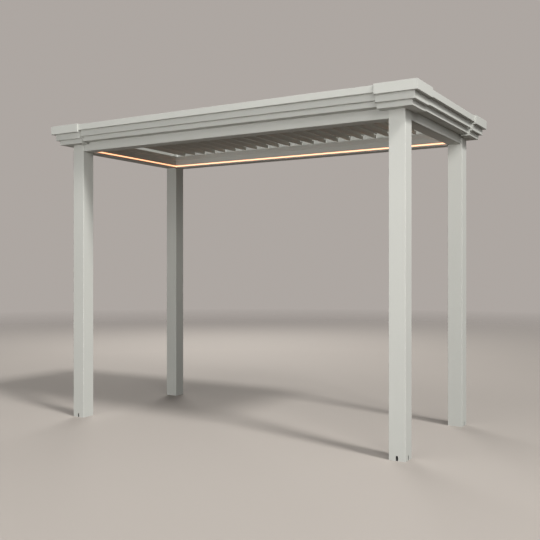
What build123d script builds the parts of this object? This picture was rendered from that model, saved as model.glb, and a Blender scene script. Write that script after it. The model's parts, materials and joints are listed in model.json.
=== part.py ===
from build123d import *
import math
import os

# Pergola with a tilting louvre roof: four tubular posts, a ring of hollow gutter beams, a stepped
# cornice with mitred corner sleeves, a light strip all round the inside and 23 turning blades.
# Millimetres, +Z up. The origin is on the ground under the middle of the roof, +X runs along the
# long side and -Y is the front.

# Plan
length_over_posts = 3825.0
depth_over_posts = 1775.0
post_size = 150.0

# Heights
beam_underside = 2895.0
beam_height = 255.0

# Rounding of the extrusions' outer edges
edge_break = 1.5

# Post tube
post_wall = 4.0
post_edge_radius = 4.0
drain_width = 20.0
drain_height = 43.0
foot_plate_thickness = 10.0
anchor_spacing = 90.0
anchor_hole_radius = 6.5

# Beam section, measured inwards from the posts' outer faces and up from its underside
beam_wall = 4.0
beam_setback = 12.0
light_channel_depth = 9.0
light_channel_bottom = 13.0
light_channel_height = 16.0
plain_face_top = 88.0
gutter_floor = 100.0
gutter_lip_reach = 18.0
gutter_lip_bottom = 124.0
gutter_lip_top = 138.0
bearing_wall_face = 108.0
drip_groove_offset = 12.0
drip_groove_width = 6.0
drip_groove_depth = 3.0

# Cornice section: reach out from the beam's face and lower edge of each step, top step first
cornice_reach = (148.0, 112.0, 78.0)
cornice_bottom = (198.0, 138.0, 89.0)
cornice_top = 260.0
cornice_wall = 4.0

# Corner sleeve over the cornice, in the same terms
sleeve_reach = (166.0, 131.0, 98.0)
sleeve_bottom = (179.0, 116.0, 68.0)
sleeve_top = 266.0
sleeve_arm = 218.0

# Louvre blades
blade_count = 23
blade_pitch = 151.4
blade_axis_height = 188.0
blade_rest_tilt = 10.0
blade_end_gap = 7.0
blade_skin = 2.0
blade_cap = 5.0
blade_left_reach = 84.0
blade_right_reach = 74.0
blade_half_thickness = 12.5
blade_flange_drop = 12.0
trough_width = 26.0
trough_drop = 28.0
pin_radius = 6.0
pin_clearance = 0.05
pin_flats = 12

# Values that follow from them
post_bore = post_size - 2 * post_wall
inner_length = length_over_posts - 2 * post_size
inner_depth = depth_over_posts - 2 * post_size
roof_level = beam_underside + beam_height
blade_end = inner_depth / 2 - gutter_lip_reach - blade_end_gap
bearing_face = depth_over_posts / 2 - bearing_wall_face

# Each side looks inwards along its own +Y, so one section serves all four
sides = {"front": 0, "right": 90, "rear": 180, "left": 270}
corners = {"front_left": 0, "front_right": 90, "rear_right": 180, "rear_left": 270}


def side_place(name):
    """The frame at the middle of a side's outer face, +Y pointing inwards."""
    out = depth_over_posts / 2 if name in ("front", "rear") else length_over_posts / 2
    turn = sides[name]
    angle = math.radians(turn)
    return Location((out * math.sin(angle), -out * math.cos(angle), 0), (0, 0, turn))


def corner_place(name):
    """The frame at a post's outer corner, +X and +Y pointing inwards."""
    x = -1 if name.endswith("left") else 1
    y = -1 if name.startswith("front") else 1
    spot = (x * length_over_posts / 2, y * depth_over_posts / 2, 0)
    return Location(spot, (0, 0, corners[name]))


def face_of(points):
    return make_face(Polyline(points, close=True))


def broken_edges(section, spots):
    """Chamfer the section's corners that lie at the given spots."""
    wanted = {(round(x, 3), round(y, 3)) for x, y in spots}
    found = [v for v in section.vertices() if (round(v.X, 3), round(v.Y, 3)) in wanted]
    return chamfer(found, edge_break)


def along_side(section, run):
    """Extrude a section drawn in (inwards, up) along a side, centred on it."""
    return extrude(Plane.YZ.offset(-run / 2) * section, amount=run)


# Posts
def post():
    """A square tube with a drain slot low in each outward face and a rain inlet from each gutter."""
    middle = post_size / 2
    ring = RectangleRounded(post_size, post_size, post_edge_radius)
    ring -= Rectangle(post_bore, post_bore)
    tube = Pos(middle, middle, 0) * extrude(ring, amount=roof_level)
    straight = drain_height - drain_width / 2
    slot = Pos(0, straight / 2) * Rectangle(drain_width, straight)
    slot += Pos(0, straight) * Circle(drain_width / 2)
    front_cut = Plane.XZ * Pos(middle, 0) * slot
    tube -= extrude(front_cut, amount=-2 * post_wall)
    side_cut = Plane.YZ * Pos(middle, 0) * slot
    tube -= extrude(side_cut, amount=2 * post_wall)
    inlet_width = post_size - bearing_wall_face - 2 * beam_wall
    inlet = Pos(bearing_wall_face + beam_wall, beam_underside + gutter_floor) * Rectangle(
        inlet_width, gutter_lip_top - gutter_floor, align=(Align.MIN, Align.MIN))
    tube -= extrude(Plane.YZ.offset(post_size - 2 * post_wall) * inlet, amount=3 * post_wall)
    tube -= extrude(Plane.XZ.offset(-post_size - post_wall) * inlet, amount=3 * post_wall)
    return tube


def foot_plate():
    """The plate closing a post's foot, with four anchor holes."""
    plate = Rectangle(post_bore, post_bore)
    plate -= GridLocations(anchor_spacing, anchor_spacing, 2, 2) * Circle(anchor_hole_radius)
    middle = post_size / 2
    return Pos(middle, middle, 0) * extrude(plate, amount=foot_plate_thickness)


# Beams
def beam_section():
    """Hollow beam, set back below the cornice: light channel low inside, slanted gutter lip above."""
    channel_top = light_channel_bottom + light_channel_height
    channel_back = post_size - light_channel_depth
    body = face_of([
        (beam_setback, 0),
        (post_size, 0),
        (post_size, light_channel_bottom),
        (channel_back, light_channel_bottom),
        (channel_back, channel_top),
        (post_size, channel_top),
        (post_size, gutter_floor),
        (bearing_wall_face, gutter_floor),
        (bearing_wall_face, beam_height),
        (0, beam_height),
        (0, cornice_bottom[2]),
        (beam_setback, cornice_bottom[2]),
    ])
    hollow = offset(body, -beam_wall, kind=Kind.INTERSECTION)
    lip_edge = post_size + gutter_lip_reach
    lip = face_of([
        (post_size, plain_face_top),
        (lip_edge, gutter_lip_bottom),
        (lip_edge, gutter_lip_top),
        (lip_edge - beam_wall, gutter_lip_top),
        (lip_edge - beam_wall, gutter_lip_bottom + beam_wall / 2),
        (post_size - beam_wall, plain_face_top + beam_wall / 2),
    ])
    groove_place = beam_setback + drip_groove_offset
    groove = Pos(groove_place, 0) * Rectangle(drip_groove_width, 2 * drip_groove_depth)
    section = body - hollow + lip - groove
    return broken_edges(section, [(beam_setback, 0), (post_size, 0)])


def beam(side):
    """One gutter beam between two posts, its lip mitred where two beams meet."""
    long_side = side in ("front", "rear")
    run = inner_length if long_side else inner_depth
    bar = along_side(beam_section(), run)
    half = run / 2
    lip_edge = post_size + gutter_lip_reach
    plan = face_of([
        (-half, 0),
        (half, 0),
        (half, post_size),
        (half - gutter_lip_reach, lip_edge),
        (gutter_lip_reach - half, lip_edge),
        (-half, post_size),
    ])
    bar &= extrude(plan, amount=beam_height)
    if long_side:
        hole = RegularPolygon(pin_radius + pin_clearance, pin_flats, major_radius=False)
        row = Sketch() + [Pos(x, blade_axis_height) * hole for x in blade_places()]
        start = bearing_wall_face + beam_wall
        bar -= extrude(Plane.XZ.offset(-start) * row, amount=3 * beam_wall)
    return Pos(0, 0, beam_underside) * bar


def light_strip(side):
    """The diffuser that fills a beam's light channel, flush with its inner face."""
    run = inner_length if side in ("front", "rear") else inner_depth
    low = beam_underside + light_channel_bottom
    back = post_size - light_channel_depth
    bar = Rectangle(light_channel_depth, light_channel_height, align=(Align.MIN, Align.MIN))
    return along_side(Pos(back, low) * bar, run)


# Cornice
def noses(reach, bottom, top):
    """The steps' outer corners."""
    return [(-out, low) for out, low in zip(reach, bottom)] + [(-reach[0], top)]


def stepped(reach, bottom, top):
    """The outline of the three steps, from the wall out and up to the top edge."""
    return [
        (0, bottom[2]),
        (-reach[2], bottom[2]),
        (-reach[2], bottom[1]),
        (-reach[1], bottom[1]),
        (-reach[1], bottom[0]),
        (-reach[0], bottom[0]),
        (-reach[0], top),
    ]


def cornice(side):
    """One hollow stepped moulding with a flange over the beam, mitred at both ends."""
    run = length_over_posts if side in ("front", "rear") else depth_over_posts
    outline = stepped(cornice_reach, cornice_bottom, cornice_top)
    body = face_of(outline + [(0, cornice_top)])
    hollow = offset(body, -cornice_wall, kind=Kind.INTERSECTION)
    body = broken_edges(body, noses(cornice_reach, cornice_bottom, cornice_top))
    flange = Pos(0, beam_height) * Rectangle(
        bearing_wall_face, cornice_top - beam_height, align=(Align.MIN, Align.MIN))
    reach = cornice_reach[0]
    bar = along_side(body - hollow + flange, run + 2 * reach)
    half = run / 2
    plan = face_of([
        (-half - reach, -reach),
        (half + reach, -reach),
        (half - bearing_wall_face, bearing_wall_face),
        (bearing_wall_face - half, bearing_wall_face),
    ])
    bar &= extrude(plan, amount=cornice_top)
    return Pos(0, 0, beam_underside) * bar


def corner_sleeve():
    """The mitred sleeve that wraps the cornice and covers the post's head."""
    outside = stepped(sleeve_reach, sleeve_bottom, sleeve_top)
    inside = stepped(cornice_reach, cornice_bottom, cornice_top)
    roof_edge = [(post_size, sleeve_top), (post_size, cornice_top)]
    section = face_of(outside + roof_edge + inside[::-1])
    section = broken_edges(section, noses(sleeve_reach, sleeve_bottom, sleeve_top))
    reach = sleeve_reach[0]
    arm = extrude(Plane.YZ.offset(-reach) * section, amount=reach + sleeve_arm)
    plan = face_of([
        (-reach, -reach),
        (sleeve_arm, -reach),
        (sleeve_arm, post_size),
        (post_size, post_size),
    ])
    arm &= extrude(plan, amount=sleeve_top)
    other = mirror(arm, about=Plane((0, 0, 0), x_dir=(0, 0, 1), z_dir=(1, -1, 0)))
    return Pos(0, 0, beam_underside) * (arm + other)


# Louvres
def blade_places():
    """Where the blades' axes stand along the roof."""
    first = -blade_pitch * (blade_count - 1) / 2
    return [first + number * blade_pitch for number in range(blade_count)]


def blade_box():
    """The closed box of a blade between its lapping lip and its trough, as a solid outline."""
    half = blade_half_thickness
    trough_left = blade_right_reach - trough_width
    lip_root = -blade_left_reach + trough_width / 2
    return face_of([
        (lip_root, -half),
        (trough_left, -half),
        (trough_left, half),
        (lip_root, half),
    ])


def blade_section():
    """Hollow blade: lapping lip and light flange on the left, rain trough under the right edge."""
    half = blade_half_thickness
    trough_left = blade_right_reach - trough_width
    trough_floor = -half - trough_drop
    lip_root = -blade_left_reach + trough_width / 2
    body = blade_box()
    hollow = offset(body, -blade_skin, kind=Kind.INTERSECTION)
    lip = face_of([
        (-blade_left_reach, half - 3 * blade_skin),
        (blade_skin - blade_left_reach, half - 3 * blade_skin),
        (blade_skin - blade_left_reach, half - blade_skin),
        (lip_root, half - blade_skin),
        (lip_root, half),
        (-blade_left_reach, half),
    ])
    flange = face_of([
        (lip_root, -half),
        (lip_root, -half - blade_flange_drop),
        (lip_root + blade_skin, -half - blade_flange_drop),
        (lip_root + blade_skin, -half),
    ])
    trough = face_of([
        (trough_left - blade_skin, -half),
        (trough_left - blade_skin, trough_floor),
        (blade_right_reach, trough_floor),
        (blade_right_reach, -half / 2),
        (blade_right_reach - blade_skin, -half / 2),
        (blade_right_reach - blade_skin, trough_floor + blade_skin),
        (trough_left, trough_floor + blade_skin),
        (trough_left, -half),
    ])
    return body - hollow + lip + flange + trough


def blade_cap_with(pin):
    """The cap of a blade's rear end, with a pin of the given section that reaches its bearing."""
    tip = bearing_face + 2 * beam_wall
    cap = extrude(Plane.XZ.offset(-blade_end) * blade_box(), amount=blade_cap)
    return cap + extrude(Plane.XZ.offset(-tip) * pin, amount=tip - blade_end)


def blade(x):
    """One blade with its end caps, a round front pin and a faceted rear pin, tilted as at rest."""
    bar = extrude(Plane.XZ.offset(-blade_end) * blade_section(), amount=2 * blade_end)
    bar += blade_cap_with(RegularPolygon(pin_radius, pin_flats))
    bar += mirror(blade_cap_with(Circle(pin_radius)), about=Plane.XZ)
    turned = Rot(0, blade_rest_tilt, 0) * bar
    return Pos(x, 0, beam_underside + blade_axis_height) * turned


def main():
    os.makedirs("parts", exist_ok=True)
    nodes = {}
    plates = []
    for name in corners:
        place = corner_place(name)
        nodes["post_" + name] = place * post()
        nodes["cornice_corner_" + name] = place * corner_sleeve()
        plates.append(place * foot_plate())
    nodes["foot_plates"] = Compound(children=plates)
    for name in sides:
        place = side_place(name)
        nodes["beam_" + name] = place * beam(name)
        nodes["cornice_" + name] = place * cornice(name)
        nodes["light_strip_" + name] = place * light_strip(name)
    for number, x in enumerate(blade_places(), start=1):
        nodes[f"louvre_{number:02d}"] = blade(x)
    for name, shape in nodes.items():
        export_step(shape, f"parts/{name}.step")


main()
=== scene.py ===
import json
import math

import bpy
from mathutils import Matrix, Vector


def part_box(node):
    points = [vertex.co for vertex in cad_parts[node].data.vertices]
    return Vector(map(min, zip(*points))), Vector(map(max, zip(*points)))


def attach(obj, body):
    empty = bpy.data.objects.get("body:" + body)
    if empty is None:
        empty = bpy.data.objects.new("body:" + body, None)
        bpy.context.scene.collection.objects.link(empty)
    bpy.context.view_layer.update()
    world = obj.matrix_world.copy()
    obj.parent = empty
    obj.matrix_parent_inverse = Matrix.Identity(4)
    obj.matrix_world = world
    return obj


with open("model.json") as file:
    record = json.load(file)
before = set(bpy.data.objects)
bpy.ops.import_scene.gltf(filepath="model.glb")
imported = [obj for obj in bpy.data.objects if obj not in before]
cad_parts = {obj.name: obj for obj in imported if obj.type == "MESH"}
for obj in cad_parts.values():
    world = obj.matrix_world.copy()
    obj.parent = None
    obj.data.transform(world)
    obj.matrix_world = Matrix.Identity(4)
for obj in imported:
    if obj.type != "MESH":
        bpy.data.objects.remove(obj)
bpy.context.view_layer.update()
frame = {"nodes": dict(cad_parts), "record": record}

# Sizes in metres, taken from the frame where it holds them
MM = 0.001
POST_LOW, POST_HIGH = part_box("post_front_right")
CORNER = Vector((POST_HIGH.x, POST_LOW.y, 0))
REAR_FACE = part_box("post_rear_right")[1].y

# Shaping: slack when picking by place, reach of a weld, and the widest angle that is shaded smooth
TOLERANCE = 0.1 * MM
WELD = 0.02 * MM
SMOOTH_ANGLE = math.radians(35.0)

# Gutter and flange: two places inwards from the posts' outer faces, and the spacing of the screws
BEARING_WALL = 108 * MM
FLANGE_MIDDLE = 54 * MM
SCREW_SPACING = 400 * MM

# Blades: the hem of the lapping lip is measured from the blade's axis, before the blade is tilted
PIN_RADIUS = 6 * MM
PIN_CLEARANCE = 0.7 * MM
REST_TILT = math.radians(10.0)
HEM_LEFT = -81.5 * MM
HEM_RIGHT = -71.0 * MM
HEM_TOP = 10.5 * MM
BEAD_DEPTH = 4.0 * MM
BEAD_LENGTH = 1425 * MM

# Foot plates, with the anchors' places from a post's middle
PLATE_THICKNESS = 10 * MM
ANCHOR_REACH = 45 * MM

# The photograph's size and its camera, placed from the front right post's outer corner
IMAGE = 540
CAMERA_OUT = Vector((2.250, -5.998, 1.630))
CAMERA_TURN = math.radians(30.75)
FOCAL_PIXELS = 753.5
HORIZON_ROW = 267.5
SENSOR = 36.0

# Colours as linear values
COAT = (0.60, 0.61, 0.575)
# The posts are painted a little lighter and the roof mouldings a little darker than the one coat: painted
# light and painted shade
POST_PAINTED_LIGHT_SHARE = 1.05
MOULDING_PAINTED_SHADE_SHARE = 0.98
GLOW_CORE = (2.00, 0.98, 0.56)
GLOW_RIM = (1.45, 0.48, 0.18)
# Zinc painted far darker than bare zinc: painted shade on the foot plates and the anchor nuts
ZINC_PAINTED_SHADE_DARK = (0.07, 0.07, 0.075)
ZINC_PAINTED_SHADE_PALE = (0.15, 0.15, 0.155)
DARK_STEEL = (0.42, 0.42, 0.41)
PALE_STEEL = (0.60, 0.60, 0.59)
NYLON = (0.022, 0.022, 0.024)
RUBBER = (0.018, 0.018, 0.019)
FLOOR_SEEN = (0.42, 0.385, 0.355)
FLOOR_BOUNCE = (0.100, 0.085, 0.073)
BACKDROP = (0.42, 0.385, 0.36)
AMBIENT = (0.9, 0.95, 1.0)
AMBIENT_STRENGTH = 0.06

# The floor: its edge, and the reach from the middle over which it fades
FLOOR_RADIUS = 60.0
FADE_START = 7.0
FADE_END = 22.0

# Lamps, all aimed at one point: a soft sun, and soft boxes as (place, width, height, power)
LAMP_AIM = Vector((0, 0, 2.0))
SUN_FROM = Vector((1.0, -0.32, 1.17))
SUN_ANGLE = math.radians(9.0)
SUN_STRENGTH = 1.9
LAMP_COLOUR = (1.0, 0.988, 0.965)
SOFT_BOXES = {
    "key_box": ((7.0, -2.4, 7.5), 1.3, 1.3, 185.0),
    "corner_box": ((7.0, -7.0, 5.0), 4.0, 4.0, 335.0),
    "low_box": ((-1.0, -9.2, 1.5), 7.0, 2.0, 285.0),
    "top_box": ((0.5, -3.2, 8.5), 5.0, 3.0, 120.0),
    "back_box": ((-6.5, 8.5, 7.5), 6.0, 4.0, 700.0),
}


class Wire:
    """An output socket whose operators add Math nodes, so shader maths reads as an expression."""

    def __init__(self, paint, socket):
        self.paint = paint
        self.socket = socket

    def maths(self, operation, first, second):
        return self.paint.node("ShaderNodeMath", {"operation": operation}, {0: first, 1: second})

    def __add__(self, other):
        return self.maths("ADD", self, other)

    __radd__ = __add__

    def __mul__(self, other):
        return self.maths("MULTIPLY", self, other)

    __rmul__ = __mul__

    def __sub__(self, other):
        return self.maths("SUBTRACT", self, other)

    def __rsub__(self, other):
        return self.maths("SUBTRACT", other, self)

    def __truediv__(self, other):
        return self.maths("DIVIDE", self, other)

    def __rtruediv__(self, other):
        return self.maths("DIVIDE", other, self)

    def __abs__(self):
        return self.maths("ABSOLUTE", self, 0.0)


class Paint:
    """One material and its nodes."""

    def __init__(self, name, **fixed):
        self.material = bpy.data.materials.new(name)
        self.material.use_nodes = True
        self.tree = self.material.node_tree
        self.tree.nodes.clear()
        self.output = self.tree.nodes.new("ShaderNodeOutputMaterial")
        self.shader = self.tree.nodes.new("ShaderNodeBsdfPrincipled")
        self.tree.links.new(self.shader.outputs[0], self.output.inputs["Surface"])
        for socket, value in fixed.items():
            self.set(self.shader, socket.replace("_", " "), value)

    def set(self, node, socket, value):
        target = node.inputs[socket]
        if isinstance(value, Wire):
            self.tree.links.new(value.socket, target)
        elif isinstance(value, tuple) and target.type == "RGBA":
            target.default_value = (*value, 1.0)[:4]
        else:
            target.default_value = value

    def node(self, kind, settings=None, inputs=None, out=0):
        made = self.tree.nodes.new(kind)
        for name, value in (settings or {}).items():
            setattr(made, name, value)
        for socket, value in (inputs or {}).items():
            self.set(made, socket, value)
        return Wire(self, made.outputs[out])

    def feed(self, **varying):
        for socket, value in varying.items():
            self.set(self.shader, socket.replace("_", " "), value)

    def place(self):
        return self.node("ShaderNodeTexCoord", out="Object")

    def part(self, vector, axis):
        return self.node("ShaderNodeSeparateXYZ", inputs={0: vector}, out="XYZ".index(axis))

    def noise(self, scale, detail=2.0, rough=0.5, vector=None, stretch=None):
        vector = vector or self.place()
        if stretch:
            vector = self.node("ShaderNodeMapping", inputs={"Vector": vector, "Scale": stretch})
        inputs = {"Vector": vector, "Scale": scale, "Detail": detail, "Roughness": rough}
        return self.node("ShaderNodeTexNoise", inputs=inputs)

    def ramp(self, value, low, high, start=0.0, end=1.0):
        inputs = {"Value": value, "From Min": low, "From Max": high, "To Min": start, "To Max": end}
        return self.node("ShaderNodeMapRange", {"clamp": True}, inputs)

    def blend(self, factor, first, second):
        inputs = {0: factor, 6: first, 7: second}
        return self.node("ShaderNodeMix", {"data_type": "RGBA"}, inputs, out=2)

    def bump(self, height, strength, distance):
        inputs = {"Height": height, "Strength": strength, "Distance": distance}
        return self.node("ShaderNodeBump", inputs=inputs)


def shade(colour, factor):
    return tuple(min(1.0, channel * factor) for channel in colour)


# Finishes
def powder_coat(name, colour):
    """Matte powder coat: fine grain, a soft orange peel and the least cloudiness of colour."""
    paint = Paint(name, Metallic=0.0, Specular_IOR_Level=0.4)
    cloud = paint.noise(scale=1.7, detail=3.0)
    paint.feed(Base_Color=paint.blend(cloud, shade(colour, 0.965), shade(colour, 1.03)))
    grain = paint.noise(scale=1400.0, detail=1.0)
    peel = paint.noise(scale=260.0, detail=1.0)
    paint.feed(Roughness=paint.ramp(peel, low=0.3, high=0.7, start=0.50, end=0.60))
    paint.feed(Normal=paint.bump(grain * 0.5 + peel, strength=0.25, distance=0.2 * MM))
    return paint.material


def glowing_strip(name):
    """Opal diffuser lit from behind: brightest along the middle, orange where it dims."""
    paint = Paint(name, Roughness=0.35, Base_Color=(0.9, 0.85, 0.7), Emission_Strength=1.0)
    low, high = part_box("light_strip_front")
    middle = (low.z + high.z) / 2
    off_centre = abs(paint.part(paint.place(), "Z") - middle) / ((high.z - low.z) / 2)
    edge = paint.ramp(off_centre, low=0.2, high=0.8)
    paint.feed(Emission_Color=paint.blend(edge, GLOW_CORE, GLOW_RIM))
    return paint.material


def galvanised(name):
    """Zinc-coated steel with its crystal spangle, painted far darker than zinc as painted shade."""
    paint = Paint(name, Metallic=1.0)
    crystals = paint.node("ShaderNodeTexVoronoi", inputs={"Vector": paint.place(), "Scale": 120.0},
                          out="Color")
    tone = paint.part(crystals, "X")
    # The spangle's two tones are both painted dark: painted shade
    paint.feed(Base_Color=paint.blend(tone, ZINC_PAINTED_SHADE_DARK, ZINC_PAINTED_SHADE_PALE))
    paint.feed(Roughness=paint.ramp(tone, low=0.0, high=1.0, start=0.45, end=0.65))
    return paint.material


def bare_steel(name):
    """Zinc-plated steel of the screws, faintly brushed."""
    paint = Paint(name, Metallic=1.0)
    brush = paint.noise(scale=700.0, detail=2.0, stretch=(1.0, 6.0, 1.0))
    paint.feed(Base_Color=paint.blend(brush, DARK_STEEL, PALE_STEEL))
    paint.feed(Roughness=paint.ramp(brush, low=0.3, high=0.7, start=0.30, end=0.45))
    return paint.material


def rubber(name, colour):
    """Dull rubber or nylon, faintly mottled."""
    paint = Paint(name, Specular_IOR_Level=0.35)
    mottle = paint.noise(scale=90.0, detail=2.0)
    paint.feed(Base_Color=paint.blend(mottle, shade(colour, 0.8), shade(colour, 1.25)))
    paint.feed(Roughness=paint.ramp(mottle, low=0.3, high=0.7, start=0.55, end=0.75))
    return paint.material


def dress_cad_nodes():
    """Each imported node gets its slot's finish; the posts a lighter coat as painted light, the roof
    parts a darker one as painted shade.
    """
    # The posts' lighter coat is painted light and the roof parts' darker coat is painted shade
    post_coat_painted_light = powder_coat("post_coat_painted_light", shade(COAT, POST_PAINTED_LIGHT_SHARE))
    finishes = {
        "powder_coat": powder_coat("roof_coat_painted_shade", shade(COAT, MOULDING_PAINTED_SHADE_SHARE)),
        "louvre_coat": powder_coat("louvre_coat", COAT),
        "light_diffuser": glowing_strip("light_strip"),
        # The foot plates take the zinc painted dark as painted shade
        "galvanised_steel": galvanised("galvanised_plate_painted_shade"),
    }
    for entry in frame["record"]["subparts"]:
        name = entry["node"]
        finish = post_coat_painted_light if name.startswith("post_") else finishes[entry["material_slot"]]
        node = frame["nodes"][name]
        node.data.materials.clear()
        node.data.materials.append(finish)


# Shaping in edit mode
def begin(add, name, **settings):
    """A fresh primitive, left in edit mode with everything selected."""
    bpy.ops.object.select_all(action="DESELECT")
    add(**settings)
    thing = bpy.context.object
    thing.name = name
    bpy.ops.object.transform_apply(location=True, rotation=True, scale=True)
    bpy.ops.object.mode_set(mode="EDIT")
    bpy.ops.mesh.select_mode(type="FACE")
    bpy.ops.mesh.select_all(action="SELECT")
    return thing


def pick(thing, wanted, kind="FACE"):
    """Select the faces or edges whose middle passes the test."""
    bpy.ops.mesh.select_mode(type=kind)
    bpy.ops.mesh.select_all(action="DESELECT")
    bpy.ops.object.mode_set(mode="OBJECT")
    mesh = thing.data
    if kind == "FACE":
        for face in mesh.polygons:
            face.select = wanted(face.center, face.normal)
    else:
        for edge in mesh.edges:
            first, second = (mesh.vertices[corner].co for corner in edge.vertices)
            edge.select = wanted((first + second) / 2, second - first)
    bpy.ops.object.mode_set(mode="EDIT")


def done(thing, finish):
    """Leave edit mode with outward faces, shading that is smooth across gentle edges, and the finish."""
    bpy.ops.mesh.select_all(action="SELECT")
    bpy.ops.mesh.normals_make_consistent(inside=False)
    bpy.ops.object.mode_set(mode="OBJECT")
    bpy.ops.object.shade_smooth_by_angle(angle=SMOOTH_ANGLE)
    thing.data.materials.append(finish)


def copies(model, places, bodies):
    """Put a copy of the model, with a mesh of its own, at every place; the model itself goes."""
    for number, (place, body) in enumerate(zip(places, bodies), start=1):
        twin = model.copy()
        twin.data = model.data.copy()
        twin.data.transform(place)
        twin.name = f"{model.name}_{number:02d}"
        bpy.context.scene.collection.objects.link(twin)
        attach(twin, body)
    bpy.data.objects.remove(model)


# Small pieces
def blade_axes():
    """Every blade's body and the point its axis runs through, along Y."""
    return [(joint["child"], Vector(joint["pos_m"])) for joint in frame["record"]["behaviour"]["joints"]]


def facing_up(middle, normal):
    """The test that picks level faces seen from above."""
    return normal.z > 0.99


def bearing_bushes():
    """A nylon ring with a narrower collar round every blade pin, on the gutter's bearing wall."""
    flange, depth, collar = 4.6 * MM, 5.0 * MM, 2.5 * MM
    collar_share = 0.45
    bore = PIN_RADIUS + PIN_CLEARANCE
    ring = begin(bpy.ops.mesh.primitive_plane_add, "bearing_bush", size=1.0)
    bpy.ops.transform.resize(value=(flange, depth, 1))
    bpy.ops.transform.translate(value=(bore + flange / 2, -depth / 2, 0))
    pick(ring, lambda middle, run: middle.y < TOLERANCE - depth, "EDGE")
    bpy.ops.transform.resize(value=(collar_share, 1, 1), center_override=(bore, 0, 0))
    bpy.ops.mesh.extrude_region_move(TRANSFORM_OT_translate={"value": (0, -collar, 0)})
    bpy.ops.mesh.select_mode(type="FACE")
    bpy.ops.mesh.select_all(action="SELECT")
    bpy.ops.mesh.dissolve_limited(angle_limit=math.radians(1))
    bpy.ops.mesh.select_all(action="SELECT")
    bpy.ops.mesh.delete(type="ONLY_FACE")
    bpy.ops.mesh.select_mode(type="VERT")
    bpy.ops.mesh.select_all(action="SELECT")
    bpy.ops.mesh.spin(steps=16, angle=math.tau, center=(0, 0, 0), axis=(0, 1, 0))
    bpy.ops.mesh.select_all(action="SELECT")
    bpy.ops.mesh.remove_doubles(threshold=WELD)
    done(ring, rubber("black_nylon", NYLON))
    wall = REAR_FACE - BEARING_WALL
    turned = Matrix.Rotation(math.pi, 4, "Z")
    places = []
    for body, axis in blade_axes():
        places.append(Matrix.Translation((axis.x, wall, axis.z)))
        places.append(Matrix.Translation((axis.x, -wall, axis.z)) @ turned)
    copies(ring, places, ["frame"] * len(places))


def blade_seals():
    """A rubber bead, rounded below, in the hem of every blade's lapping lip."""
    rounding = 2.6 * MM
    bottom = HEM_TOP - BEAD_DEPTH
    bead = begin(bpy.ops.mesh.primitive_cube_add, "blade_seal", size=1.0)
    bpy.ops.transform.resize(value=(HEM_RIGHT - HEM_LEFT, BEAD_LENGTH, BEAD_DEPTH))
    bpy.ops.transform.translate(value=((HEM_LEFT + HEM_RIGHT) / 2, 0, (bottom + HEM_TOP) / 2))
    pick(bead, lambda middle, run: middle.z < bottom + TOLERANCE and abs(run.y) > BEAD_LENGTH / 2, "EDGE")
    bpy.ops.mesh.bevel(offset=rounding, segments=3, profile=0.5)
    done(bead, rubber("black_rubber", RUBBER))
    tilt = Matrix.Rotation(REST_TILT, 4, "Y")
    places = [Matrix.Translation(axis) @ tilt for body, axis in blade_axes()]
    copies(bead, places, [body for body, axis in blade_axes()])


def flange_screws():
    """Pan-head screws with a round recess, which hold the cornice flange down on the beams."""
    radius, thick, rounding = 5.5 * MM, 2.6 * MM, 1.2 * MM
    rim, recess = 1.9 * MM, 1.4 * MM
    flange_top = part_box("cornice_front")[1].z
    screw = begin(bpy.ops.mesh.primitive_cylinder_add, "flange_screw", vertices=12,
                  radius=radius, depth=thick, location=(0, 0, thick / 2))
    pick(screw, facing_up)
    bpy.ops.mesh.bevel(offset=rounding, segments=2)
    pick(screw, facing_up)
    bpy.ops.mesh.inset(thickness=rim)
    bpy.ops.mesh.extrude_region_move(TRANSFORM_OT_translate={"value": (0, 0, -recess)})
    done(screw, bare_steel("zinc_plated_screw"))
    side = REAR_FACE - FLANGE_MIDDLE
    end = POST_HIGH.x - FLANGE_MIDDLE
    spots = [(step * SCREW_SPACING, sign * side) for step in range(-4, 5) for sign in (-1, 1)]
    spots += [(sign * end, step * SCREW_SPACING) for step in (-1, 0, 1) for sign in (-1, 1)]
    places = [Matrix.Translation((x, y, flange_top)) for x, y in spots]
    copies(screw, places, ["frame"] * len(places))


def anchor_nuts():
    """A washer, a round nut and a stud's end over each hole of the foot plates."""
    washer_radius, washer = 14.0 * MM, 2.5 * MM
    nut_radius, nut_height, nut_edge = 9.5 * MM, 9.0 * MM, 1.0 * MM
    nut_rim, stud_height, stud_edge = 2.2 * MM, 12.0 * MM, 1.2 * MM
    nut = begin(bpy.ops.mesh.primitive_cylinder_add, "anchor_nut", vertices=24,
                radius=washer_radius, depth=washer, location=(0, 0, PLATE_THICKNESS + washer / 2))
    pick(nut, facing_up)
    bpy.ops.mesh.inset(thickness=washer_radius - nut_radius)
    bpy.ops.mesh.extrude_region_move(TRANSFORM_OT_translate={"value": (0, 0, nut_height)})
    bpy.ops.mesh.bevel(offset=nut_edge, segments=1)
    nut_top = PLATE_THICKNESS + washer + nut_height
    pick(nut, lambda middle, normal: facing_up(middle, normal) and middle.z > nut_top - TOLERANCE)
    bpy.ops.mesh.inset(thickness=nut_rim)
    bpy.ops.mesh.extrude_region_move(TRANSFORM_OT_translate={"value": (0, 0, stud_height)})
    bpy.ops.mesh.inset(thickness=stud_edge)
    bpy.ops.transform.translate(value=(0, 0, stud_edge))
    # The nuts take the zinc painted dark as painted shade
    done(nut, galvanised("anchor_zinc_painted_shade"))
    places = []
    for corner in ("front_left", "front_right", "rear_right", "rear_left"):
        low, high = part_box("post_" + corner)
        middle = (low + high) / 2
        for side in (-ANCHOR_REACH, ANCHOR_REACH):
            for depth in (-ANCHOR_REACH, ANCHOR_REACH):
                places.append(Matrix.Translation((middle.x + side, middle.y + depth, 0)))
    copies(nut, places, ["frame"] * len(places))


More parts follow.
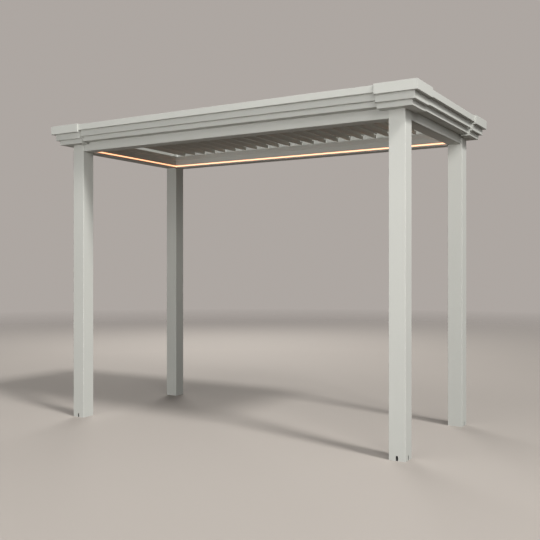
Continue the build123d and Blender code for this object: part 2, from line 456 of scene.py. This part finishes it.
# Stage
def floor():
    """A round pale floor that fades out before the horizon and gives back little light."""
    bpy.ops.object.select_all(action="DESELECT")
    bpy.ops.mesh.primitive_circle_add(vertices=96, radius=FLOOR_RADIUS, fill_type="NGON")
    disc = bpy.context.object
    disc.name = "floor"
    paint = Paint("pale_floor", Roughness=0.9, Specular_IOR_Level=0.1)
    rays = paint.node("ShaderNodeLightPath", out="Is Camera Ray")
    paint.feed(Base_Color=paint.blend(rays, FLOOR_BOUNCE, FLOOR_SEEN))
    spot = paint.place()
    reach = paint.node("ShaderNodeVectorMath", {"operation": "LENGTH"}, {0: spot}, out="Value")
    paint.feed(Alpha=paint.ramp(reach, low=FADE_START, high=FADE_END, start=1.0, end=0.0))
    disc.data.materials.append(paint.material)


def surroundings():
    """One even colour for the camera and for reflections, a dimmer one for the light it gives."""
    world = bpy.data.worlds.new("studio")
    bpy.context.scene.world = world
    world.use_nodes = True
    nodes, links = world.node_tree.nodes, world.node_tree.links
    nodes.clear()
    rays = nodes.new("ShaderNodeLightPath")
    seen = nodes.new("ShaderNodeMath")
    seen.operation = "MAXIMUM"
    links.new(rays.outputs["Is Camera Ray"], seen.inputs[0])
    links.new(rays.outputs["Is Glossy Ray"], seen.inputs[1])
    glow = nodes.new("ShaderNodeBackground")
    glow.inputs[0].default_value = (*AMBIENT, 1)
    glow.inputs[1].default_value = AMBIENT_STRENGTH
    shown = nodes.new("ShaderNodeBackground")
    shown.inputs[0].default_value = (*BACKDROP, 1)
    mix = nodes.new("ShaderNodeMixShader")
    out = nodes.new("ShaderNodeOutputWorld")
    links.new(seen.outputs[0], mix.inputs[0])
    links.new(glow.outputs[0], mix.inputs[1])
    links.new(shown.outputs[0], mix.inputs[2])
    links.new(mix.outputs[0], out.inputs[0])


def lamp(name, kind, place, energy, **settings):
    """A lamp at a place, turned towards the point that all lamps aim at."""
    data = bpy.data.lights.new(name, kind)
    data.energy = energy
    data.color = LAMP_COLOUR
    for key, value in settings.items():
        setattr(data, key, value)
    thing = bpy.data.objects.new(name, data)
    bpy.context.scene.collection.objects.link(thing)
    thing.location = place
    thing.rotation_euler = (LAMP_AIM - Vector(place)).to_track_quat("-Z", "Y").to_euler()


def lights():
    """A soft sun and a high key box on the right, then boxes at the corner, low, above and behind."""
    lamp("sun", "SUN", LAMP_AIM + SUN_FROM, SUN_STRENGTH, angle=SUN_ANGLE)
    for name, (place, width, height, power) in SOFT_BOXES.items():
        lamp(name, "AREA", place, power, shape="RECTANGLE", size=width, size_y=height)


def camera():
    """The photograph's viewpoint: level, turned to the left, with the horizon just above the middle."""
    data = bpy.data.cameras.new("photo_view")
    view = bpy.data.objects.new("photo_view", data)
    bpy.context.scene.collection.objects.link(view)
    view.location = CORNER + CAMERA_OUT
    view.rotation_euler = (math.radians(90), 0, CAMERA_TURN)
    data.sensor_width = SENSOR
    data.lens = FOCAL_PIXELS / IMAGE * SENSOR
    data.shift_y = (HORIZON_ROW - IMAGE / 2) / IMAGE
    bpy.context.scene.camera = view


bpy.context.scene.view_settings.view_transform = "Standard"
camera()
dress_cad_nodes()
bearing_bushes()
blade_seals()
flange_screws()
anchor_nuts()
floor()
surroundings()
lights()
